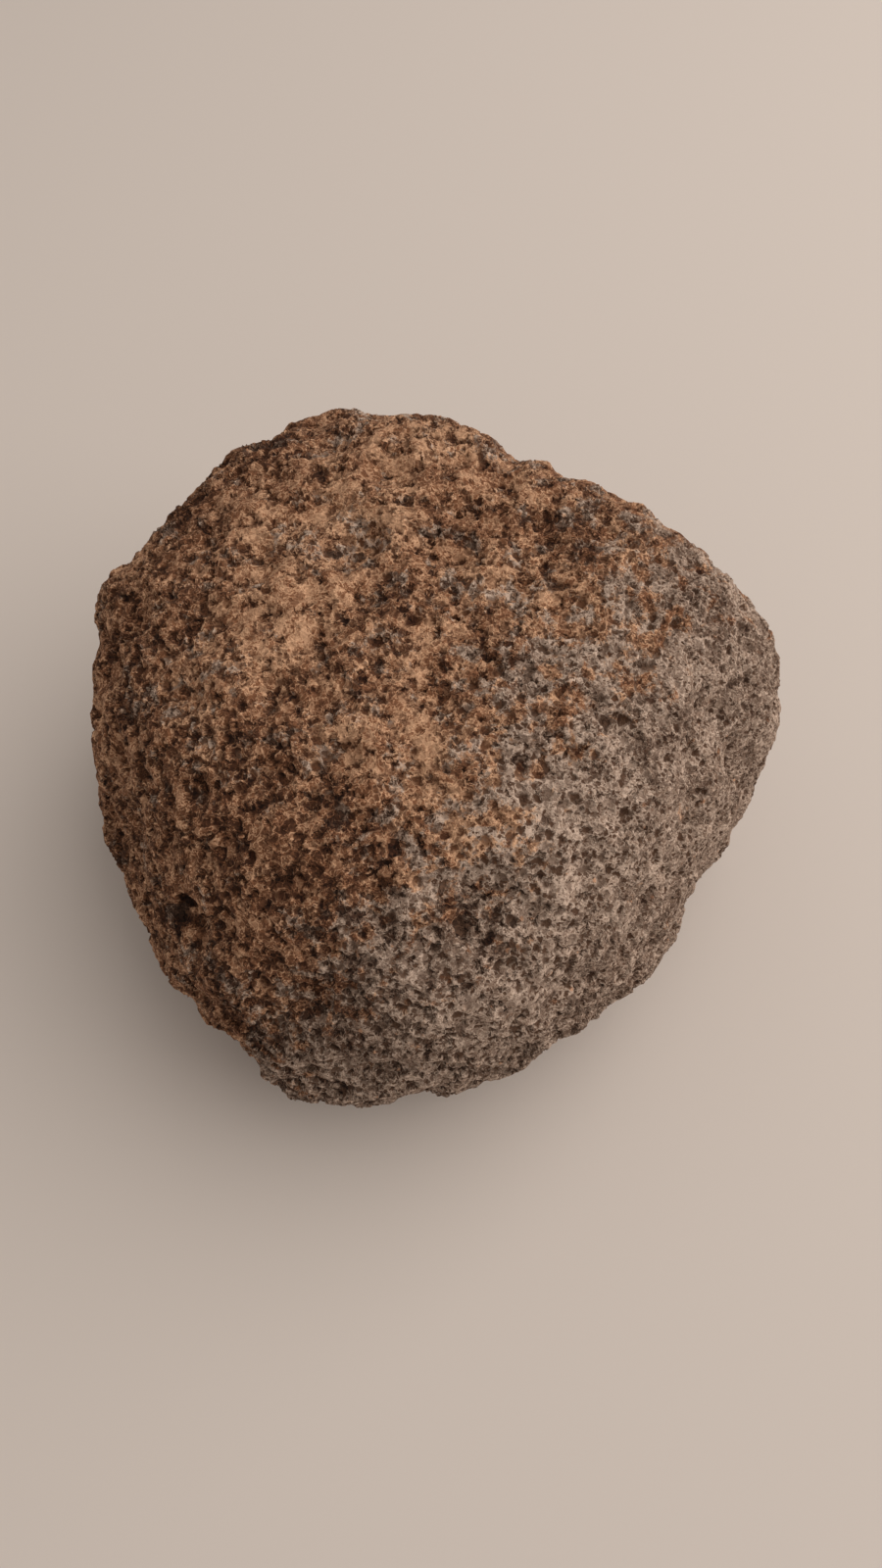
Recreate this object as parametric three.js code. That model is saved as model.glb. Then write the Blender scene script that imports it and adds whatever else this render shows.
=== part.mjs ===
// A meteorite: one pitted, rounded stone that rests on its flattest side.
// Millimetres, +Z up, +X to the stone's right and +Y to its back.
// The origin is the middle of the bounding box's underside, on the surface that the stone rests on.
import * as THREE from 'three';
import { ImprovedNoise } from 'three/addons/math/ImprovedNoise.js';
import { mergeVertices } from 'three/addons/utils/BufferGeometryUtils.js';

// Driving dimensions.
const WIDTH = 77; // overall, along X
const DEPTH = 78; // overall, along Y
const HEIGHT = 45; // from the resting face to the crown
const CORE_HEIGHT = 19; // of the point inside the stone that its form is measured from
const CROWN_RISE = 27; // from the core to the crown, before the flats and hollows
const KEEL_DROP = 22; // from the core to the underside, before the resting face is cut
const CROWN_FULLNESS = 2.35; // superellipse exponent: 2 is an ellipse, and more is squarer
const KEEL_FULLNESS = 2.3;
const LEAN = new THREE.Vector2(0.04, 0.16); // how far the stone leans right and back, per unit of height

// Distance from the core to the stone's side, every 22.5 degrees from +X towards +Y.
const SIDE_RADII = [39, 36.5, 33, 31, 35, 39, 41.8, 40.3, 39.5, 40.7, 40.5, 41.8, 41, 37.6, 36.5, 35.5];

// Broad flats worn on the stone: the way each one faces, how far its plane is from the core,
// and the softness of its edge.
const FLATS = [
  { name: 'back right side', azimuth: 57, elevation: 12, distance: 30, softness: 1.2 },
  { name: 'front right side', azimuth: -42, elevation: 14, distance: 35.2, softness: 1.4 },
  { name: 'front left side', azimuth: 212, elevation: 18, distance: 37.2, softness: 1.2 },
  { name: 'back left side', azimuth: 136, elevation: 14, distance: 37, softness: 1.2 },
  { name: 'crown', azimuth: 262, elevation: 84, distance: 24.5, softness: 2.2 },
];

// Lumps stand out from the form and hollows sink into it: the way each one faces from the core,
// its reach over the surface, and its rise, which is negative in a hollow.
const LUMPS = [
  { name: 'right corner', azimuth: 12, elevation: 8, reach: 10, rise: 1.8 },
  { name: 'front foot', azimuth: 253, elevation: -8, reach: 8, rise: 1.8 },
  { name: 'back left knob', azimuth: 121, elevation: 18, reach: 7, rise: 1.2 },
  { name: 'crown knob', azimuth: 212, elevation: 70, reach: 4, rise: 0.9 },
  { name: 'back knob', azimuth: 78, elevation: 36, reach: 4, rise: 0.9 },
  { name: 'left shoulder', azimuth: 170, elevation: 18, reach: 7, rise: 2 },
  { name: 'front right foot', azimuth: 304, elevation: 0, reach: 8, rise: 1.2 },
  { name: 'back right hollow', azimuth: 48, elevation: 26, reach: 12, rise: -2.4 },
  { name: 'back hollow', azimuth: 108, elevation: 26, reach: 8, rise: -1.8 },
];

// Relief: rolling ground, then knobs, then lumps between the pits, each a layer of noise.
const RELIEF = [
  { wavelength: 21, height: 1.5 },
  { wavelength: 9, height: 0.8 },
  { wavelength: 4.4, height: 0.6 },
];

// The pits that stand out: the way each one faces from the core, and its radius.
const LARGE_PITS = [
  { name: 'front left pit', azimuth: 229, elevation: 13, radius: 3.2 },
  { name: 'front pit, upper', azimuth: 274, elevation: 29, radius: 2.8 },
  { name: 'front pit, lower', azimuth: 278, elevation: 23, radius: 2.6 },
  { name: 'foot pit', azimuth: 257, elevation: 0, radius: 2.6 },
  { name: 'left foot pit', azimuth: 245, elevation: 16, radius: 2.6 },
  { name: 'crown pit', azimuth: 171, elevation: 67, radius: 3.4 },
  { name: 'back crown pit', azimuth: 25, elevation: 65, radius: 2.8 },
];

// The rest of the pits, where gas left the stone: all over it, apart from the resting face.
const PIT_COUNT = 620;
const PIT_RADIUS = { least: 1.6, most: 3 };
const PIT_DEPTH_SHARE = 0.55; // of the pit's radius
const RESTING_RADIUS = 13; // round the middle of the resting face, where there are no pits

const SURFACE_DETAIL = 21; // 20 * (detail + 1)^2 triangles
const MERGE_GAP = 1e-5; // on a ball of radius 1
const BALL_SQUASH = 0.78; // of the ways' height, so that the wide sides have as much detail as the crown
const SEED = 11;

const noise = new ImprovedNoise();

function direction(azimuth, elevation) {
  const a = THREE.MathUtils.degToRad(azimuth);
  const e = THREE.MathUtils.degToRad(elevation);
  return new THREE.Vector3(Math.cos(a) * Math.cos(e), Math.sin(a) * Math.cos(e), Math.sin(e));
}

// A way that points out of an even ball, moved towards the level.
function squash(way) {
  way.z *= BALL_SQUASH;
  return way.normalize();
}

// The side's distance from the core at an azimuth in radians, on a smooth closed curve.
function sideRadius(azimuth) {
  const count = SIDE_RADII.length;
  const place = THREE.MathUtils.euclideanModulo(azimuth / (2 * Math.PI), 1) * count;
  const before = Math.floor(place);
  const t = place - before;
  const [a, b, c, d] = [-1, 0, 1, 2].map((step) => SIDE_RADII[(before + step + count) % count]);
  return b + 0.5 * t * (c - a + t * (2 * a - 5 * b + 4 * c - d + t * (3 * (b - c) + d - a)));
}

// A point of the plain form, from the core: a superellipse over the side's outline, leaning back.
function formPoint(way) {
  const level = Math.hypot(way.x, way.y);
  const rise = way.z > 0 ? CROWN_RISE : KEEL_DROP;
  const fullness = way.z > 0 ? CROWN_FULLNESS : KEEL_FULLNESS;
  const side = sideRadius(Math.atan2(way.y, way.x));
  const sum = (level / side) ** fullness + (Math.abs(way.z) / rise) ** fullness;
  const point = way.clone().multiplyScalar(sum ** (-1 / fullness));
  point.x += LEAN.x * point.z;
  point.y += LEAN.y * point.z;
  return point;
}

// Presses a point in behind each flat's plane, with a soft edge.
function pressFlats(point) {
  for (const flat of FLATS) {
    const normal = direction(flat.azimuth, flat.elevation);
    const over = (point.dot(normal) - flat.distance) / flat.softness;
    point.addScaledVector(normal, -flat.softness * Math.log1p(Math.exp(over)));
  }
}

// Moves a point outwards on a lump, or inwards in a hollow, less and less away from its middle.
function raiseLumps(point, way) {
  for (const lump of LUMPS) {
    const centre = formPoint(direction(lump.azimuth, lump.elevation));
    const share = Math.exp(-point.distanceToSquared(centre) / (lump.reach * lump.reach));
    point.addScaledVector(way, lump.rise * share);
  }
}

// Adds the layers of noise to a point's distance from the core.
function raiseRelief(point, way) {
  let height = 0;
  for (const layer of RELIEF) {
    const p = point.clone().divideScalar(layer.wavelength);
    height += layer.height * noise.noise(p.x, p.y, p.z);
  }
  point.addScaledVector(way, height);
}

// Ways from the core to the pits: the large ones, then the rest, spread evenly on a spiral
// and each moved a little at random.
function placePits() {
  const random = (least, most) => least + (most - least) * THREE.MathUtils.seededRandom();
  const goldenAngle = Math.PI * (3 - Math.sqrt(5));
  const stray = 1.4 / Math.sqrt(PIT_COUNT);
  const pits = LARGE_PITS.map((pit) => ({ ...pit, way: direction(pit.azimuth, pit.elevation) }));
  THREE.MathUtils.seededRandom(SEED);
  for (let i = 0; i < PIT_COUNT; i += 1) {
    const z = 1 - (2 * i + 1) / PIT_COUNT;
    const level = Math.sqrt(1 - z * z);
    const turn = i * goldenAngle;
    const way = new THREE.Vector3(Math.cos(turn) * level, Math.sin(turn) * level, z);
    way.add(new THREE.Vector3(random(-stray, stray), random(-stray, stray), random(-stray, stray)));
    pits.push({ way: squash(way), radius: random(PIT_RADIUS.least, PIT_RADIUS.most) });
  }
  return pits;
}

// Sinks a bowl round the surface point that each pit's way leads to.
function sinkPits(points, ways) {
  for (const pit of placePits()) {
    const nearer = (best, way, i) => (way.dot(pit.way) > ways[best].dot(pit.way) ? i : best);
    const centre = points[ways.reduce(nearer, 0)].clone();
    if (centre.z < 0 && Math.hypot(centre.x, centre.y) < RESTING_RADIUS) continue;
    points.forEach((point, i) => {
      const share = 1 - point.distanceToSquared(centre) / (pit.radius * pit.radius);
      if (share > 0) point.addScaledVector(ways[i], -PIT_DEPTH_SHARE * pit.radius * share);
    });
  }
}

// A ball's points are moved out to the stone's form, and the underside is cut flat to rest on.
function makeStone() {
  const ball = new THREE.IcosahedronGeometry(1, SURFACE_DETAIL);
  ball.deleteAttribute('normal');
  ball.deleteAttribute('uv');
  const geometry = mergeVertices(ball, MERGE_GAP);
  const position = geometry.getAttribute('position');
  const ways = [];
  for (let i = 0; i < position.count; i += 1) {
    ways.push(squash(new THREE.Vector3().fromBufferAttribute(position, i)));
  }
  const points = ways.map((way) => {
    const point = formPoint(way);
    pressFlats(point);
    raiseLumps(point, way);
    raiseRelief(point, way);
    return point;
  });
  sinkPits(points, ways);
  points.forEach((point, i) => {
    position.setXYZ(i, point.x, point.y, Math.max(point.z, -CORE_HEIGHT));
  });
  return fitToSize(geometry);
}

// Sets the stone on the surface that it rests on, centred, at its overall size.
function fitToSize(geometry) {
  geometry.computeBoundingBox();
  const { min, max } = geometry.boundingBox;
  geometry.translate(-(min.x + max.x) / 2, -(min.y + max.y) / 2, -min.z);
  geometry.scale(WIDTH / (max.x - min.x), DEPTH / (max.y - min.y), HEIGHT / (max.z - min.z));
  geometry.computeVertexNormals();
  return geometry;
}

const crust = new THREE.MeshStandardMaterial({
  name: 'crust',
  color: 0x7d6450,
  roughness: 0.95,
  metalness: 0,
});

const meteorite = new THREE.Group();
meteorite.name = 'meteorite';

const stone = new THREE.Mesh(makeStone(), crust);
stone.name = 'stone';
meteorite.add(stone);

export default meteorite;
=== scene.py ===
# %% [markdown]
# # A pitted meteorite
#
# One stone as wide as a palm, full of gas holes, with tan soil dried on its crown. The frame
# brings its solid form, faceted at about 2 mm. This lesson grows a fine surface from that form,
# digs the holes into it, and then gives it a crust that is grey, tan and nearly black by turns.

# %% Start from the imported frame
import math

import bmesh
import bpy
import numpy as np
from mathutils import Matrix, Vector, kdtree, noise


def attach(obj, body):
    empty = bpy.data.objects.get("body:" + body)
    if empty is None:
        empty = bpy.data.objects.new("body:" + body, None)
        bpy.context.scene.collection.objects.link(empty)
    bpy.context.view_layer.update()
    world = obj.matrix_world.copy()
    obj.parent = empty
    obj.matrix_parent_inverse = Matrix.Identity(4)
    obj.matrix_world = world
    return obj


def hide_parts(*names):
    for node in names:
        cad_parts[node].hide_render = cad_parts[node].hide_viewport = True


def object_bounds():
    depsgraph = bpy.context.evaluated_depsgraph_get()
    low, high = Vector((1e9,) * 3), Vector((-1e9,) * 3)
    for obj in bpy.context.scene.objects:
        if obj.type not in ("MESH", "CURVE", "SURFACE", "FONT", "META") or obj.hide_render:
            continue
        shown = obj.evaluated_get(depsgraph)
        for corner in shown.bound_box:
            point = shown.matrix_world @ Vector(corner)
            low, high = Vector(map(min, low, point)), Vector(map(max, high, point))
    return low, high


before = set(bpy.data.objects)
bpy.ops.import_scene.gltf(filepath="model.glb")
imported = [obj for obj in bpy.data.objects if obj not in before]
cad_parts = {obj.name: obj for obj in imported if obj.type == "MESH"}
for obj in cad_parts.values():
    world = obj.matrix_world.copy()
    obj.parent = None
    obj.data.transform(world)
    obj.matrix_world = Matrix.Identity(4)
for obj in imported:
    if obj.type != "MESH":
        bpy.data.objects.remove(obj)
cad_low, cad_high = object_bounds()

MM = 0.001  # the scene is in metres, and the stone's details are easier to say in millimetres
print("the frame's box, mm:", [round(side / MM, 1) for side in cad_high - cad_low])

# %% [markdown]
# ## The camera
#
# The stone is looked down on from close by, at 60 degrees above the level, so most of its crown
# and the whole of its front show. A wide lens this near also makes the front look larger than
# the back. The near clipping distance is shortened, because the default would cut into the stone.

# %% Look down on the stone
CAMERA_PLACE = Vector((0.5, -70.2, 133)) * MM
CAMERA_ELEVATION = math.radians(60)
LONG_SIDE = 36  # of the sensor, in mm
LENS = 27.07  # in mm
NEAREST_SEEN = 5 * MM

camera = bpy.data.objects.new("camera", bpy.data.cameras.new("camera"))
camera.location = CAMERA_PLACE
camera.rotation_euler = (math.pi / 2 - CAMERA_ELEVATION, 0, 0)
camera.data.sensor_width = LONG_SIDE
camera.data.lens = LENS
camera.data.clip_start = NEAREST_SEEN
bpy.context.scene.collection.objects.link(camera)
bpy.context.scene.camera = camera
print("the camera is", round(CAMERA_PLACE.length / MM), "mm from the stone's foot")

# %% [markdown]
# ## Floor and light
#
# Pits read best in light that comes from one side, and soft light keeps their shadows open. So
# one large lamp stands to the stone's right, as high up as it is far off, like a window. It is
# near enough for its light to fall off towards the left, and the pale room fills in the rest.

# %% Lay the floor
FLOOR_SIDE = 20.0
FLOOR_COLOUR = (0.70, 0.645, 0.605, 1)
FLOOR_ROUGHNESS = 0.9

def plain_finish(name, colour, roughness):
    finish = bpy.data.materials.new(name)
    finish.use_nodes = True
    shader = finish.node_tree.nodes["Principled BSDF"]
    shader.inputs["Base Color"].default_value = colour
    shader.inputs["Roughness"].default_value = roughness
    return finish

floor_shape = bmesh.new()
bmesh.ops.create_grid(floor_shape, x_segments=1, y_segments=1, size=FLOOR_SIDE / 2)
floor = bpy.data.objects.new("floor", bpy.data.meshes.new("floor"))
floor_shape.to_mesh(floor.data)
floor_shape.free()
floor.data.materials.append(plain_finish("pale floor", FLOOR_COLOUR, FLOOR_ROUGHNESS))
bpy.context.scene.collection.objects.link(floor)
print("the floor is", FLOOR_SIDE, "m wide")

# %% Stand a window-like lamp to the stone's right
WINDOW_PLACE = Vector((0.38, 0.07, 0.40))
WINDOW_SIDE = 0.8
WINDOW_POWER = 3.0
WINDOW_COLOUR = (1, 0.92, 0.85)

window = bpy.data.objects.new("window", bpy.data.lights.new("window", "AREA"))
window.data.shape = "SQUARE"
window.data.size = WINDOW_SIDE
window.data.energy = WINDOW_POWER
window.data.color = WINDOW_COLOUR
window.location = WINDOW_PLACE
window.rotation_euler = (-WINDOW_PLACE).to_track_quat("-Z", "Y").to_euler()
bpy.context.scene.collection.objects.link(window)
print("the lamp stands", round(WINDOW_PLACE.length, 2), "m away")

# %% Fill the room with pale light
ROOM_COLOUR = (1, 0.91, 0.83, 1)
ROOM_STRENGTH = 0.40

world = bpy.data.worlds.new("pale room")
world.use_nodes = True
world.node_tree.nodes["Background"].inputs["Color"].default_value = ROOM_COLOUR
world.node_tree.nodes["Background"].inputs["Strength"].default_value = ROOM_STRENGTH
bpy.context.scene.world = world
bpy.context.scene.view_settings.view_transform = "Standard"
print("the room's light has strength", ROOM_STRENGTH)

# %% [markdown]
# ## A fine skin over the form
#
# Weather and melting leave no flat facets, so the form is copied, cut finer and relaxed until
# its facets are gone. A remesh would do that too, but it spends as many faces on the underside,
# which hardly shows, as on the crown. Cutting edges lets the underside start with larger faces.
# The skin is cut finer than it can stay, because it is thinned once its holes are dug:
# triangles then go where the shape turns, and broad slopes do with few.

# %% Copy the form and cut it finer
UNDERSIDE_SLOPE = -0.25  # a face that looks down more than this, near the floor, is underside
UNDERSIDE_HEIGHT = 14 * MM
SKIN_CUTS = 8
UNDERSIDE_CUTS = 4
UNDERSIDE_EDGE = 0.9 * MM
MERGE_GAP = 0.001 * MM

def looks_down(face):
    low = face.calc_center_median().z < UNDERSIDE_HEIGHT
    return low and face.normal.z < UNDERSIDE_SLOPE

skin = bmesh.new()
skin.from_mesh(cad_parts["stone"].data)
bmesh.ops.remove_doubles(skin, verts=skin.verts, dist=MERGE_GAP)
shown = [e for e in skin.edges if not all(looks_down(f) for f in e.link_faces)]
bmesh.ops.subdivide_edges(skin, edges=shown, cuts=SKIN_CUTS, use_grid_fill=True)
coarse = [e for e in skin.edges if e.calc_length() > UNDERSIDE_EDGE]
bmesh.ops.subdivide_edges(skin, edges=coarse, cuts=UNDERSIDE_CUTS, use_grid_fill=True)
bmesh.ops.triangulate(skin, faces=skin.faces)
print("the skin has", len(skin.faces), "triangles")

# %% Relax the facets away
RELAXING_ROUNDS = 22
RELAXING_SHARE = 0.5  # of the way to the middle of a point's neighbours

for _ in range(RELAXING_ROUNDS):
    bmesh.ops.smooth_vert(
        skin, verts=skin.verts, factor=RELAXING_SHARE,
        use_axis_x=True, use_axis_y=True, use_axis_z=True)
skin.normal_update()
print("relaxed", RELAXING_ROUNDS, "times")

# %% [markdown]
# ## Knobs
#
# Between its holes the stone is lumpy at several sizes at once. Layers of noise do that: each
# has a wavelength and a height, and moves every point along its normal. A displace modifier
# would look the same, but here the points stay at hand for the holes that come next.

# %% Raise knobs
KNOBS = [(3.4, 0.42), (1.7, 0.3), (0.95, 0.12)]  # (wavelength, height), in mm

def knob_height(place):
    return sum(height * noise.noise(place / (wavelength * MM)) for wavelength, height in KNOBS)

for vert in skin.verts:
    vert.co += vert.normal * knob_height(vert.co) * MM
skin.normal_update()
print("knobs stand up to", sum(height for _, height in KNOBS), "mm")

# %% [markdown]
# ## The holes that stand out
#
# Some gas holes stand out from the rest and have known places. Balls could be cut out of the
# stone with a boolean, but their rims would be sharp and round. So each is dug as a bowl: the
# points within its rim sink by the height of a ball's cap, and noise bends the rim, since a
# real bubble breaks through the surface with a torn edge.

# %% Dig the holes that stand out
HOLES_THAT_STAND_OUT = [  # (place on the stone, radius), in mm
    ((-25, -24, 27), 1.2), ((-24, -23, 28.5), 1.0), ((-26, -25, 25.5), 0.9), ((2, -28, 34.5), 0.8),
    ((5, -29, 34), 0.7), ((11, 13, 43), 0.6), ((-9, -37.5, 16), 1.0), ((-16, -31, 28), 0.6),
    ((-1, -9, 42), 0.7), ((8, -15, 41), 0.6), ((1, -16, 42), 0.6), ((16, 2, 44), 0.6),
    ((20, -4, 41), 0.6), ((16, -10, 40), 0.6), ((26, -5, 38), 0.6), ((30, -3, 36), 0.6),
    ((-10.5, 8.5, 43), 0.6), ((-9, 10, 43), 0.5), ((-7.5, 9, 43), 0.6), ((-8, 7.5, 43), 0.5),
    ((-10, 7, 43), 0.6), ((8, -18, 40), 0.7), ((-11, -4, 43), 0.7), ((11, 10, 43), 0.6),
    ((12, 4, 43), 0.6), ((-23, 2, 42), 0.7), ((-14, -26, 36), 0.6), ((-2, 0, 43), 0.7),
    ((6, -6, 43), 0.6), ((-4, 3, 44), 0.6), ((-4, -28, 36), 0.7), ((10, -25, 36.5), 0.6),
    ((17, -26, 30), 0.5), ((-18, -17, 40), 0.6), ((-19, -1, 43), 0.5), ((15, -23, 34), 0.5),
    ((-3, -31, 34), 0.6), ((4, -33, 30), 0.6), ((2, -26, 36), 0.6),
]
HOLE_DEPTH = 0.85  # in radii
HOLE_RAGGEDNESS = 0.9  # how far a rim strays from round, as a share of the radius
HOLE_RAGS = 1.1 * MM  # how long a straying bit of rim is
HOLE_SEARCH = 2  # in radii, for the points that a straying rim may reach

verts = list(skin.verts)
tree = kdtree.KDTree(len(verts))
for i, vert in enumerate(verts):
    tree.insert(vert.co, i)
tree.balance()
hollow = np.zeros(len(verts), np.float32)
for place, radius in HOLES_THAT_STAND_OUT:
    middle = tree.find(Vector(place) * MM)[0]
    for spot, i, away in tree.find_range(middle, HOLE_SEARCH * radius * MM):
        away *= 1 + HOLE_RAGGEDNESS * noise.noise(spot / HOLE_RAGS)
        cap = math.sqrt(max(1 - (away / (radius * MM)) ** 2, 0))
        hollow[i] = max(hollow[i], HOLE_DEPTH * radius * cap)
for vert, sink in zip(verts, hollow):
    vert.co -= vert.normal * float(sink) * MM
print(len(HOLES_THAT_STAND_OUT), "holes dug, the deepest", round(float(hollow.max()), 2), "mm")

# %% Make the stone's object
stone = bpy.data.objects.new("stone_crust", bpy.data.meshes.new("stone_crust"))
for face in skin.faces:
    face.smooth = True
skin.to_mesh(stone.data)
skin.free()
bpy.context.scene.collection.objects.link(stone)

def store(name, values):
    attribute = stone.data.attributes.new(name, "FLOAT", "POINT")
    attribute.data.foreach_set("value", values.astype(np.float32))

store("hollow", hollow)
print("the stone has", len(stone.data.vertices), "points")

# %% [markdown]
# ## Soil, and dark and pale patches
#
# Soil has dried on the stone's left, its back and its crown, and there is less and less of it
# to the right. It could be painted on by hand, but a rule is easier to change: the amount
# grows along one way, and patches add to it or take from it, so that the soil's edge wanders.
# Other patches are darker than the rest. On the crown that is darker crust; on the left flank, away
# from the lamp, it is partly darker crust and partly painted shade. Others are paler. Both amounts
# are stored on each point, for the holes and for the finish to read.

# %% Helpers for patches
def point_places(mesh):
    places = np.empty(len(mesh.vertices) * 3, np.float32)
    mesh.vertices.foreach_get("co", places)
    return places.reshape(-1, 3)

points = point_places(stone.data)

def distance(middle):
    return np.linalg.norm(points / MM - np.array(middle), axis=1)

def patches(listed):
    amounts = [most * np.exp(-(distance(middle) / reach) ** 2) for middle, reach, most in listed]
    return np.max(amounts, axis=0)

print("the highest point is at", round(float(points[:, 2].max()) / MM, 1), "mm")

# %% Lay the soil
SOIL_WAY = (-0.77, 0.64, 0)  # to the left and the back
SOIL_EDGE = (-26, -6)  # along that way, in mm: least soil before the first, most past the second
SOIL_LEVELS = (-0.9, 0.85)  # the least and the most
SOIL_SHOWS = 0.4  # from this amount, soil hides the stone
SOIL_PATCHES = [  # (middle, reach in mm, how much more)
    ((-2, 22, 45), 7, 0.5), ((-17, 10, 43), 9, 0.4), ((-12, 1, 44), 8, 0.3),
    ((-4, -13, 43), 9, 0.3), ((5, -22, 40), 6, 0.6), ((20, 0, 42), 5, 0.5),
    ((14, -10, 41), 4, 0.4), ((-38, -6, 18), 22, 0.4), ((24, -21, 21), 2, 0.9),
    ((37, 10, 6), 9, 0.9),
]
BARE_PATCHES = [  # (middle, reach in mm, how much less)
    ((30, 32, 6), 11, 1.5), ((-7, 10, 43), 4, 0.6), ((-12, -36, 16), 9, 0.6),
    ((-34, 20, 6), 9, 0.7), ((24, 24, 18), 7, 1.0),
]

soil = np.interp(points @ np.array(SOIL_WAY) / MM, SOIL_EDGE, SOIL_LEVELS)
soil += patches(SOIL_PATCHES) - patches(BARE_PATCHES)
store("laid soil", soil)
print("soil covers", round(100 * np.mean(soil > SOIL_SHOWS)), "% of the points")

# %% Darken some patches, partly as painted shade, and make others paler
# Darker crust on the crown; the broad patches on the left flank, away from the lamp, are partly darker
# crust and partly painted shade
DARK_AND_SHADED_PATCHES = [  # (middle, reach in mm, how dark)
    ((13, 11, 43), 5, 0.8), ((0, 14, 44), 4, 0.6), ((-12, -9, 43), 4, 0.5),
    ((4, -28, 34), 4, 0.8), ((-5, 3, 44), 4, 0.4), ((-8, -30, 35), 6, 0.4),
    ((6, -3, 43), 4, 0.3), ((-23, 2, 41), 6, 0.8), ((-17, -16, 40), 7, 0.6),
    ((-10, -21, 40), 5, 0.5), ((-42, -8, 16), 22, 0.9), ((-26, -24, 24), 13, 0.8),
    ((-30, 22, 26), 14, 0.7), ((-12, -40, 10), 14, 0.5), ((4, 38, 30), 14, 0.5),
    ((-18, 28, 40), 8, 0.9), ((17, -30, 20), 11, 0.4), ((33, -3, 34), 7, 0.4),
    ((-32, 7, 36), 10, 0.7), ((-21, -22, 36), 9, 1.1), ((24, 4, 42), 6, 0.4),
    ((-13, -23, 38), 8, 1.1), ((23, -14, 38), 6, 0.35), ((-14, -33, 28), 10, 0.6),
    ((-19, 24, 42), 7, 1.3), ((-27, 19, 38), 8, 1.2), ((-24, 13, 41), 5, 0.8),
    ((-31, 5, 37), 8, 0.9), ((-21, -31, 22), 7, 1.1), ((-31, -5, 36), 7, 0.9),
    ((-31, -14, 33), 7, 0.9),
]
PALE_PATCHES = [  # (middle, reach in mm, how pale)
    ((7, -22, 39), 7, 1.0), ((-15, 1, 44), 5, 0.5), ((-3, -15, 42), 7, 0.3),
    ((-15, 11, 43), 5, 0.3), ((-20, -4, 42), 6, 0.5), ((14, 1, 43), 8, 0.3),
    ((8, 3, 43), 5, 0.6), ((-8, 10, 44), 5, 0.9), ((13, -22, 37), 6, 0.9),
    ((15, -7, 41), 5, 0.3), ((24, -22, 34), 6, 0.4), ((-22, -5, 41), 4, 0.4),
    ((8, -33, 29), 7, 0.5), ((1, 21, 44), 5, 0.4),
]

store("dark", patches(DARK_AND_SHADED_PATCHES) - patches(PALE_PATCHES))
print(len(DARK_AND_SHADED_PATCHES), "dark patches and", len(PALE_PATCHES), "pale ones")

# %% [markdown]
# ## Helpers for nodes
#
# The small holes are made by nodes, and they are made twice: once in the shape, and once in
# the finish, so that the dark of a hole lies exactly in it. Most nodes work in both kinds of
# tree, so one set of helpers builds in either.

# %% A helper that adds a node and wires it
def add(tree, kind, inputs=None, **settings):
    made = tree.nodes.new(kind)
    for name, value in settings.items():
        setattr(made, name, value)
    for name, value in (inputs or {}).items():
        if isinstance(value, bpy.types.NodeSocket):
            tree.links.new(value, made.inputs[name])
        else:
            made.inputs[name].default_value = value
    return made

# %% Helpers that reckon
def reckon(tree, how, first, second=0.0):
    return add(tree, "ShaderNodeMath", {0: first, 1: second}, operation=how).outputs[0]

def plus(tree, first, second):
    return reckon(tree, "ADD", first, second)

def less(tree, first, second):
    return reckon(tree, "SUBTRACT", first, second)

def times(tree, first, second):
    return reckon(tree, "MULTIPLY", first, second)

def largest(tree, values):
    most = values[0]
    for value in values[1:]:
        most = reckon(tree, "MAXIMUM", most, value)
    return most

def vector(tree, how, inputs):
    return add(tree, "ShaderNodeVectorMath", inputs, operation=how).outputs[0]

def part(tree, whole, name):
    """One of the three numbers of a place, X, Y or Z."""
    return add(tree, "ShaderNodeSeparateXYZ", {"Vector": whole}).outputs[name]

def ramp(tree, value, low, high, bottom=0.0, top=1.0):
    """From bottom to top, with soft ends, as a value goes from low to high."""
    limits = {"From Min": low, "From Max": high, "To Min": bottom, "To Max": top}
    made = add(tree, "ShaderNodeMapRange", {"Value": value, **limits}, interpolation_type="SMOOTHSTEP")
    return made.outputs["Result"]

# %% Helpers for clouds of noise and for colours
CLOUD_MIDDLE = 0.5
CLOUD_SPAN = (0.3, 0.7)  # nearly all of a cloud's values lie between these
SHARE, FIRST, SECOND, MIXED = 0, 6, 7, 2  # a mix node's sockets for colours

def cloud(tree, place, cells, detail=2.0, roughness=0.5, output="Fac"):
    made = add(tree, "ShaderNodeTexNoise", {
        "Vector": place, "Scale": cells, "Detail": detail, "Roughness": roughness})
    return made.outputs[output]

def swing(tree, level, most):
    """A cloud's value, spread from -most to most."""
    return ramp(tree, level, *CLOUD_SPAN, -most, most)

def mix_colour(tree, share, first, second, blend="MIX"):
    inputs = {SHARE: share, FIRST: first, SECOND: second}
    return add(tree, "ShaderNodeMix", inputs, data_type="RGBA", blend_type=blend).outputs[MIXED]

# %% [markdown]
# ## Gas holes
#
# The stone froze while it was foaming, and its surface cuts through the bubbles, so one hole
# is cut at its widest and the next near its top. A Voronoi texture in three dimensions does
# the same: a ball round each cell's middle, met by the surface wherever it happens to be.
# Each ball's radius is drawn by its cell, and the places are bent a little, so that no hole
# is quite round. To the right the bubbles are smaller.
#
# Where bubbles have run together the stone has hollows of no set shape. A cloud of noise makes
# those, wherever its value is low. Soil fills the holes that it lies on.

# %% Helpers for bubbles
BEND = 0.5  # of the places, in mm
BEND_CELLS = 1.8  # per mm
BEND_ROUGHNESS = 0.6
LEAST_OPEN = 0.5  # of a bubble's depth: soil or melt has filled it to here
OPEN_LUCK = 0.8  # a bubble whose luck, from 0 to 1, is past this is wide open

def bend(tree, place):
    drift = cloud(tree, place, BEND_CELLS, roughness=BEND_ROUGHNESS, output="Color")
    shift = vector(tree, "SUBTRACT", {0: drift, 1: (CLOUD_MIDDLE,) * 3})
    shift = vector(tree, "SCALE", {0: shift, "Scale": 2 * BEND})
    return vector(tree, "ADD", {0: place, 1: shift})

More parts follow.
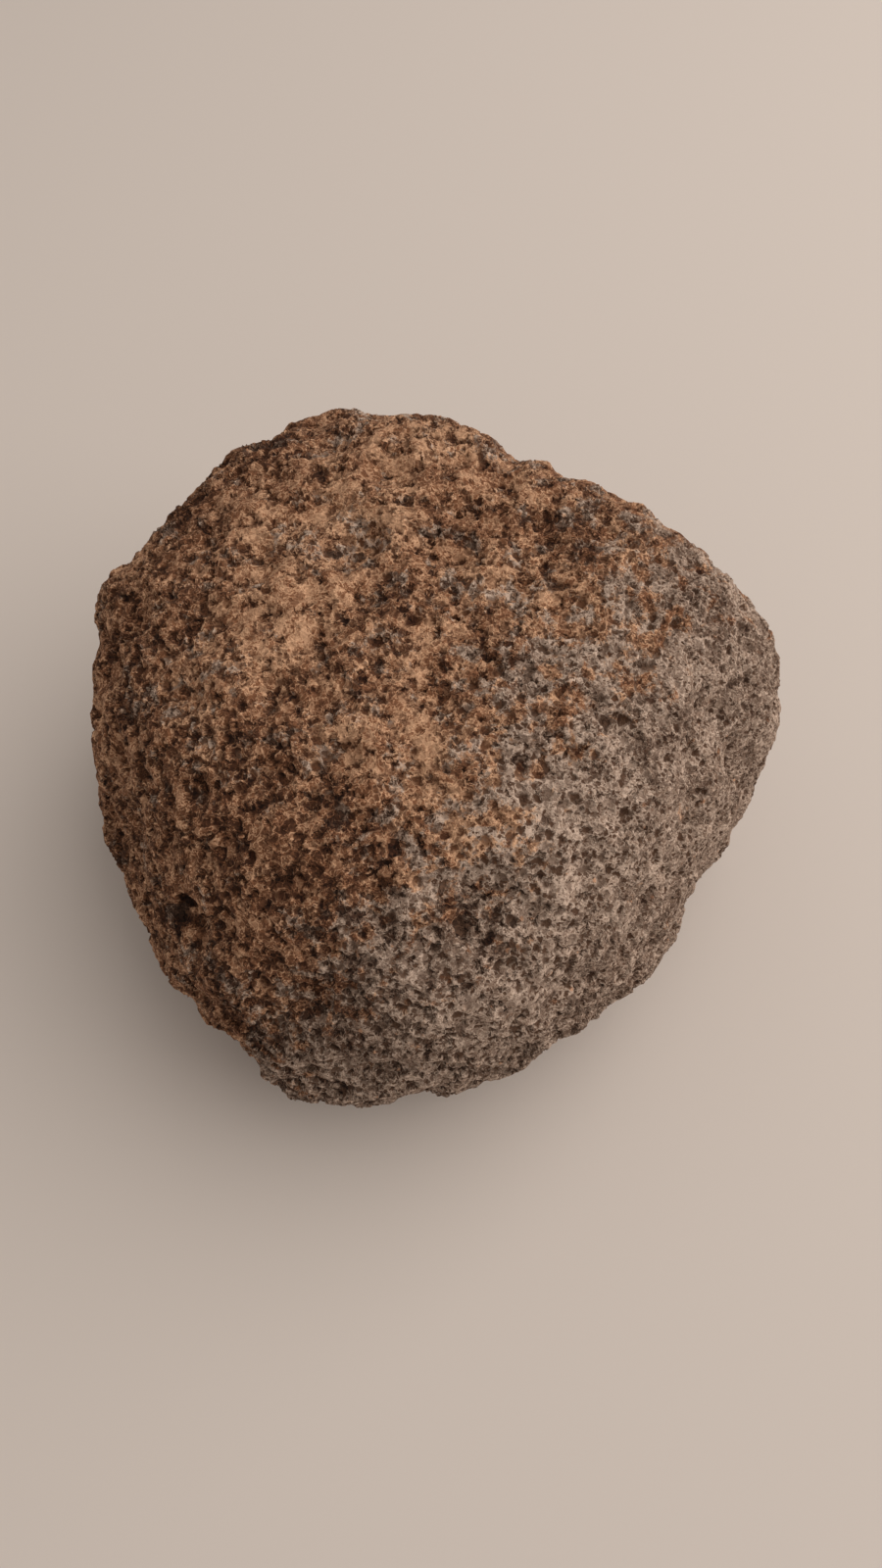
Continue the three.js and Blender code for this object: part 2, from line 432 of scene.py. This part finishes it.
def bubble(tree, bent, size, cells, least, most):
    """How far a place is from its bubble's middle, in radii, the radius in mm, and how open it is."""
    cell = add(tree, "ShaderNodeTexVoronoi", {"Vector": bent, "Scale": cells})
    size_luck = part(tree, cell.outputs["Color"], "X")
    open_luck = part(tree, cell.outputs["Color"], "Y")
    radius = times(tree, ramp(tree, size_luck, 0.0, 1.0, least, most), size)
    away = reckon(tree, "DIVIDE", cell.outputs["Distance"], cells)
    openness = ramp(tree, open_luck, 0.0, OPEN_LUCK, LEAST_OPEN, 1.0)
    return reckon(tree, "DIVIDE", away, radius), radius, openness

def bubble_depth(tree, away, radius, openness):
    """The height of a ball's cap, in mm, which is how deep its hole is."""
    cap = less(tree, 1.0, times(tree, away, away))
    cap = reckon(tree, "SQRT", reckon(tree, "MAXIMUM", cap, 0.0))
    return times(tree, times(tree, times(tree, cap, radius), HOLE_DEPTH), openness)

# %% Helpers for hollows
FINE_SIDE = (6, 24)  # the stone grows finer between these, along X in mm
GOUGE_CELLS = 0.85  # per mm
GOUGE_LEVELS = (0.44, 0.37)  # of the cloud: a hollow starts at the first, and is full at the second
GOUGE_SPREAD = 0.07  # how much further the levels reach where the stone is darkest
GOUGE_DEPTH = 0.5  # in mm
GOUGE_SHARES = (1.0, 0.55)  # of that depth, on the coarse side and on the fine one

def by_side(tree, place, shares):
    return ramp(tree, part(tree, place, "X"), *FINE_SIDE, *shares)

def gouge(tree, place, bent, dark):
    """How far a place is inside a hollow of no set shape, from 0 to 1."""
    level = less(tree, cloud(tree, bent, GOUGE_CELLS), times(tree, dark, GOUGE_SPREAD))
    return times(tree, ramp(tree, level, *GOUGE_LEVELS), by_side(tree, place, GOUGE_SHARES))

# %% Helpers for soil
SOIL_BREAKS = [(0.1, 0.35), (0.42, 0.65), (1.2, 0.55)]  # (cells per mm, how much more or less)
SOIL_FILLS = (0.9, 1.5)  # the amounts at which soil starts to fill a hole, and has filled it
LEFT_OPEN = 0.4  # of a filled hole's depth

def soil_amount(tree, bent, laid):
    """The amount laid down, broken up into patches of a few millimetres with ragged edges."""
    amount = laid
    for cells, most in SOIL_BREAKS:
        amount = plus(tree, amount, swing(tree, cloud(tree, bent, cells), most))
    return amount

def unfilled(tree, amount):
    """The share of a hole's depth that soil leaves open."""
    return ramp(tree, amount, *SOIL_FILLS, 1.0, LEFT_OPEN)

# %% [markdown]
# ## Digging
#
# A texture could only paint the holes, and at the stone's edge they have to break its outline.
# So geometry nodes move every point along its normal, by the depth that the helpers give. The
# place of each point before that is stored with it, for the finish to find the same bubbles by.
# So is how much soil lies there, which is quicker than to work it out again in the finish.
# Then the skin is thinned, and the mesh that comes out takes the place of the one that went in.

# %% Start the nodes that dig
BUBBLE_SHARES = (1.1, 1.0)  # of the bubbles' sizes, on the coarse side and on the fine one

digging = bpy.data.node_groups.new("gas holes", "GeometryNodeTree")
for in_out in ("INPUT", "OUTPUT"):
    digging.interface.new_socket("Geometry", in_out=in_out, socket_type="NodeSocketGeometry")
entry = add(digging, "NodeGroupInput")
place = add(digging, "GeometryNodeInputPosition").outputs[0]
place = vector(digging, "SCALE", {0: place, "Scale": 1 / MM})
bent = bend(digging, place)
size = by_side(digging, place, BUBBLE_SHARES)

def named(name):
    made = add(digging, "GeometryNodeInputNamedAttribute", {"Name": name}, data_type="FLOAT")
    return made.outputs[0]

def keep(geometry, name, value, kind="FLOAT"):
    made = add(digging, "GeometryNodeStoreNamedAttribute", {
        "Geometry": geometry, "Name": name, "Value": value}, data_type=kind)
    return made.outputs[0]

kept = keep(entry.outputs[0], "ground", place, "FLOAT_VECTOR")
kept = keep(kept, "soil", soil_amount(digging, bent, named("laid soil")))
print("the nodes so far:", len(digging.nodes))

# %% Work out how deep to dig
BUBBLES = [  # (cells per mm, least radius, most radius), in mm
    (0.38, 0.1, 0.62),
    (0.85, 0.25, 0.6),
    (1.3, 0.2, 0.42),
]
FOOT = (0.3, 1.2)  # no holes below the first height, all of them above the second, in mm
CROWDED = 0.3  # where a hole that stands out is this deep, in mm, small holes are held back
CROWDED_SHARE = 0.2  # of their depth, which they keep there

depths = [bubble_depth(digging, *bubble(digging, bent, size, *kind)) for kind in BUBBLES]
depths.append(times(digging, gouge(digging, place, bent, named("dark")), GOUGE_DEPTH))
depth = largest(digging, depths)
depth = times(digging, depth, ramp(digging, part(digging, place, "Z"), *FOOT))
depth = times(digging, depth, unfilled(digging, named("soil")))
depth = times(digging, depth, ramp(digging, named("hollow"), 0.0, CROWDED, 1.0, CROWDED_SHARE))
print("the deepest gas holes can be", round(HOLE_DEPTH * BUBBLES[0][2] * BUBBLE_SHARES[0], 2), "mm")

# %% Dig, then thin the skin where it is smooth
TRIANGLES_KEPT = 196000

normal = add(digging, "GeometryNodeInputNormal").outputs[0]
offset = vector(digging, "SCALE", {0: normal, "Scale": times(digging, depth, -MM)})
moved = add(digging, "GeometryNodeSetPosition", {"Geometry": kept, "Offset": offset})
add(digging, "NodeGroupOutput", {0: moved.outputs[0]})
stone.modifiers.new("gas holes", "NODES").node_group = digging
thin = stone.modifiers.new("thinning", "DECIMATE")
thin.ratio = TRIANGLES_KEPT / len(stone.data.polygons)

finished = stone.evaluated_get(bpy.context.evaluated_depsgraph_get())
finished = bpy.data.meshes.new_from_object(finished)
stone.modifiers.clear()
stone.data = finished
print("the stone has", len(finished.polygons), "triangles")

# %% [markdown]
# ## Back on its foot
#
# The knobs may stand a hair proud of the form, and the stone has to rest on its flat patch,
# so every point is kept inside the form's box.

# %% Keep the skin inside the form's box
points = point_places(finished)
inside = points.clip(np.array(cad_low, np.float32), np.array(cad_high, np.float32))
finished.vertices.foreach_set("co", inside.ravel())
finished.update()
print(int((inside != points).any(axis=1).sum()), "points had strayed out of the box")

# %% [markdown]
# ## The crust
#
# The bare stone is a grey taupe, the soil is tan, and the holes are nearly black. The finish
# could be painted on an unwrapped stone, but a stone has no seams, and a painted hole would
# slip from the dug one. So it is worked out at each place from the same fields of bubbles and
# hollows, with one more size of bubble that is too fine for the skin.

# %% Start the crust
FINE_BUBBLES = (2.3, 0.1, 0.27)  # as above, but too fine for the skin

crust = bpy.data.materials.new("crust")
crust.use_nodes = True
tree = crust.node_tree
shader = tree.nodes["Principled BSDF"]

def stored(name, output="Fac"):
    return add(tree, "ShaderNodeAttribute", attribute_name=name).outputs[output]

ground = stored("ground", "Vector")
bent = bend(tree, ground)
size = by_side(tree, ground, BUBBLE_SHARES)
holes = [bubble(tree, bent, size, *kind) for kind in BUBBLES + [FINE_BUBBLES]]
gouged = gouge(tree, ground, bent, stored("dark"))
print("the crust reads", len(holes), "sizes of bubbles")

# %% Find the soil, frayed by the grain
GRAIN_CELLS = 3.5  # per mm
GRAIN_IN_SOIL = 0.25
SOIL_FRINGE = (0.05, 0.65)  # the amounts at which soil starts to show, and hides the stone

grain = cloud(tree, ground, GRAIN_CELLS)
frayed = plus(tree, stored("soil"), swing(tree, grain, GRAIN_IN_SOIL))
soil_here = ramp(tree, frayed, *SOIL_FRINGE)
open_here = unfilled(tree, stored("soil"))
print("nodes with the soil:", len(tree.nodes))

# %% [markdown]
# ## Its tone
#
# One number, the tone, gathers all that is dark or pale at a place, and only then is it turned
# into a colour. Stone and soil each start from a tone of their own. Patches, blotches and
# hollows darken it, and the rims of the holes and the strands between them, which are rubbed
# bare, lighten it. Grain and stains break up whatever is left even.

# %% Set the tone, darker in patches and hollows
STONE_TONE = 0.325
SOIL_TONE = 0.188
BLOTCH_CELLS = 0.3  # per mm
BLOTCH = 0.5  # how much blotches darken and lighten
DARKENING = 0.34  # what a dark patch takes from the tone
GOUGE_SHADE = 0.5  # what a hollow takes from it

dark_here = plus(tree, stored("dark"), swing(tree, cloud(tree, ground, BLOTCH_CELLS), BLOTCH))
tone = ramp(tree, soil_here, 0.0, 1.0, STONE_TONE, SOIL_TONE)
# on the left flank, part of this darkening is painted shade
tone = less(tree, tone, times(tree, dark_here, DARKENING))
# hollows are darkened partly for their darker brown crust and partly as painted shade
tone = less(tree, tone, times(tree, times(tree, gouged, open_here), GOUGE_SHADE))
print("nodes with the patches:", len(tree.nodes))

# %% Lighten the rims of the holes and the strands between them
RIM_REACH = (1.45, 1.05)  # in radii: a rim starts at the first, and is full at the second
RIM_LIGHT = 0.49  # what a rim adds to the tone
STRANDS = (0.9, 0.035)  # (cells per mm, width as a share of the cloud's values)
BENT_STRANDS = (1.3, 0.045)
STRAND_CORE = 0.25  # of a strand's width, where it is palest
STRAND_LIGHT = 0.36  # what a strand adds to the tone
LIGHT_IN_THE_DARK = 1.25  # of the rims' and strands' strength, in a dark patch

def strands(place, cells, width):
    """Thin curling lines, where a cloud of noise crosses its middle value."""
    level = less(tree, cloud(tree, place, cells, detail=1.0), CLOUD_MIDDLE)
    return ramp(tree, reckon(tree, "ABSOLUTE", level), width, width * STRAND_CORE)

rims = [times(tree, ramp(tree, away, *RIM_REACH), openness) for away, _, openness in holes]
strand = largest(tree, [strands(ground, *STRANDS), strands(bent, *BENT_STRANDS)])
light = plus(tree, times(tree, strand, STRAND_LIGHT), times(tree, largest(tree, rims), RIM_LIGHT))
light = times(tree, light, ramp(tree, stored("dark"), 0.0, 1.0, 1.0, LIGHT_IN_THE_DARK))
tone = plus(tree, tone, light)
print("nodes with the rims:", len(tree.nodes))

# %% Add grain and stains
GRAIN = 0.08  # how much grain darkens and lightens
STAIN = 0.16  # how much stains do, on the coarse side
STAIN_CELLS = 0.9  # per mm
STAIN_SPAN = (0.36, 0.64)  # of the cloud's values

tone = plus(tree, tone, swing(tree, grain, GRAIN))
stain = cloud(tree, bent, STAIN_CELLS, detail=3.0, roughness=0.6)
stain = ramp(tree, stain, *STAIN_SPAN, -STAIN, STAIN)
tone = plus(tree, tone, times(tree, stain, by_side(tree, ground, GOUGE_SHARES)))
print("nodes with the stains:", len(tree.nodes))

# %% [markdown]
# ## Its colours
#
# A tone means one colour on stone and another on soil: both go from nearly black to pale, but
# the stone by way of grey and the soil by way of tan. A colour ramp holds the shades of each,
# and the amount of soil mixes the two. A few grains of orange grit lie over both.

# %% Turn the tone into colours
GREYS = [  # (tone, colour)
    (0.0, (0.07, 0.033, 0.019, 1)),
    (0.45, (0.25, 0.168, 0.122, 1)),
    (1.0, (0.63, 0.486, 0.392, 1)),
]
TANS = [
    (0.0, (0.07, 0.026, 0.011, 1)),
    (0.45, (0.255, 0.111, 0.053, 1)),
    (1.0, (0.77, 0.47, 0.29, 1)),
]

def shades(tone, stops):
    made = add(tree, "ShaderNodeValToRGB", {"Fac": tone})
    marks = made.color_ramp.elements
    while len(marks) < len(stops):
        marks.new(0.5)
    for mark, (position, colour) in zip(marks, stops):
        mark.position = position
        mark.color = colour
    return made.outputs["Color"]

coloured = mix_colour(tree, soil_here, shades(tone, GREYS), shades(tone, TANS))
print("the stone has", len(GREYS), "greys and the soil", len(TANS), "tans")

# %% Scatter specks of orange grit
SPECKS = (0.6, 0.12, 0.3)  # cells per mm, least radius, most radius, in mm
SPECK_EDGE = (1.0, 0.6)  # in radii: a speck starts at the first, and is full at the second
SPECK_LUCK = (0.86, 0.92)  # only cells past this luck have a speck
SPECK_STRENGTH = 0.8
SPECK_COLOUR = (0.6, 0.33, 0.2, 1)

away, _, luck = bubble(tree, ground, 1.0, *SPECKS)
speck = times(tree, ramp(tree, away, *SPECK_EDGE), ramp(tree, luck, *SPECK_LUCK))
coloured = mix_colour(tree, times(tree, speck, SPECK_STRENGTH), coloured, SPECK_COLOUR)
print("nodes with the specks:", len(tree.nodes))

# %% [markdown]
# ## Its holes and its finest relief
#
# Little light gets out of a gas hole again, less than the shallow copy in the skin would keep
# in, so the colour is darkened there too, more and more towards its middle. The smallest holes
# and the grain are bump alone, from the same numbers as the colour, so that the two agree.

# %% Darken the holes
HOLE_SHADE = (1.05, 0.6)  # in radii: the shade starts at the first, and is full at the second
HOLLOW_SHADE = (0.05, 0.5)  # likewise in the holes that stand out, in mm of their depth
HOLE_TINT = (0.18, 0.125, 0.094, 1)  # what the shade leaves of the colour

insides = [times(tree, ramp(tree, away, *HOLE_SHADE), openness) for away, _, openness in holes]
open_hole = times(tree, largest(tree, insides), open_here)
darkness = largest(tree, [open_hole, ramp(tree, stored("hollow"), *HOLLOW_SHADE)])
in_shade = mix_colour(tree, 1.0, coloured, HOLE_TINT, "MULTIPLY")
coloured = mix_colour(tree, darkness, coloured, in_shade)
print("nodes with the shaded holes:", len(tree.nodes))

# %% Add the relief that is too fine for the skin
RELIEF_SHARE = 0.6  # of the holes' depth, since the skin shows some of it
GRAIN_HEIGHT = 0.15  # in mm

depths = [bubble_depth(tree, *hole) for hole in holes[1:]]
depth = largest(tree, depths + [times(tree, gouged, GOUGE_DEPTH)])
relief = times(tree, times(tree, depth, open_here), -RELIEF_SHARE)
relief = plus(tree, relief, times(tree, grain, GRAIN_HEIGHT))
bump = add(tree, "ShaderNodeBump", {"Height": relief, "Distance": MM, "Strength": 1.0})
tree.links.new(bump.outputs["Normal"], shader.inputs["Normal"])
print("nodes with the relief:", len(tree.nodes))

# %% Put the crust on the stone
CRUST_ROUGHNESS = 0.9
CRUST_GLOSS = 0.3

tree.links.new(coloured, shader.inputs["Base Color"])
shader.inputs["Roughness"].default_value = CRUST_ROUGHNESS
shader.inputs["Specular IOR Level"].default_value = CRUST_GLOSS
finished.materials.clear()
finished.materials.append(crust)
print("the stone wears", [finish.name for finish in finished.materials])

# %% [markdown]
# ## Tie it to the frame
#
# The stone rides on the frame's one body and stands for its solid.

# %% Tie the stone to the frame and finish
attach(stone, "root")
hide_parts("stone")
